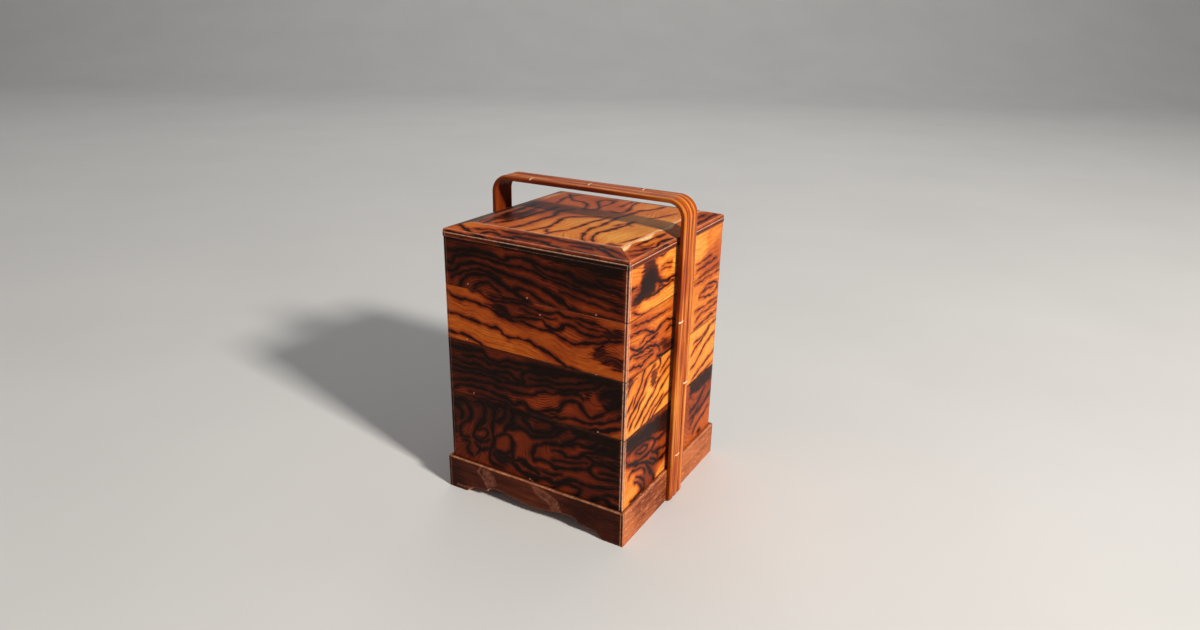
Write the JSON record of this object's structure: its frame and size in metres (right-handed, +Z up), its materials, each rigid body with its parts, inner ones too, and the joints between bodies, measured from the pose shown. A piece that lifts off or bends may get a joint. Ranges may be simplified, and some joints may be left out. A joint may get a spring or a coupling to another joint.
{
  "type": "tiered picnic box",
  "caption": "Square tiered picnic box of figured wood: stacked trays with a bevelled lid on a plinth with a cut apron, carried by a bent strap handle over the top.",
  "frame": {"origin": "on the ground, under the middle of the box", "axes": "+Z up, X along the handle bar, -Y out of the front face"},
  "size_m": [0.2144, 0.2092, 0.31],
  "materials": {
    "tray_wood": "dark-streaked figured wood, waxed, soft gloss",
    "lid_wood": "lighter figured wood with dark lines, waxed, soft gloss",
    "base_wood": "plain red-brown hardwood, waxed, worn along the foot",
    "strap_wood": "reeded orange-brown strap, polished"
  },
  "bodies": {
    "root": {"base_front": "base_wood", "base_back": "base_wood", "base_left": "base_wood", "base_right": "base_wood", "lowest_tray_front": "tray_wood", "lowest_tray_back": "tray_wood", "lowest_tray_left": "tray_wood", "lowest_tray_right": "tray_wood", "lowest_tray_floor": "tray_wood", "second_tray_front": "tray_wood", "second_tray_back": "tray_wood", "second_tray_left": "tray_wood", "second_tray_right": "tray_wood", "second_tray_floor": "tray_wood", "third_tray_front": "tray_wood", "third_tray_back": "tray_wood", "third_tray_left": "tray_wood", "third_tray_right": "tray_wood", "third_tray_floor": "tray_wood", "top_tray_front": "tray_wood", "top_tray_back": "tray_wood", "top_tray_left": "tray_wood", "top_tray_right": "tray_wood", "top_tray_floor": "tray_wood", "lid_front": "lid_wood", "lid_back": "lid_wood", "lid_left": "lid_wood", "lid_right": "lid_wood", "lid_panel": "lid_wood", "handle": "strap_wood"}
  },
  "joints": []
}
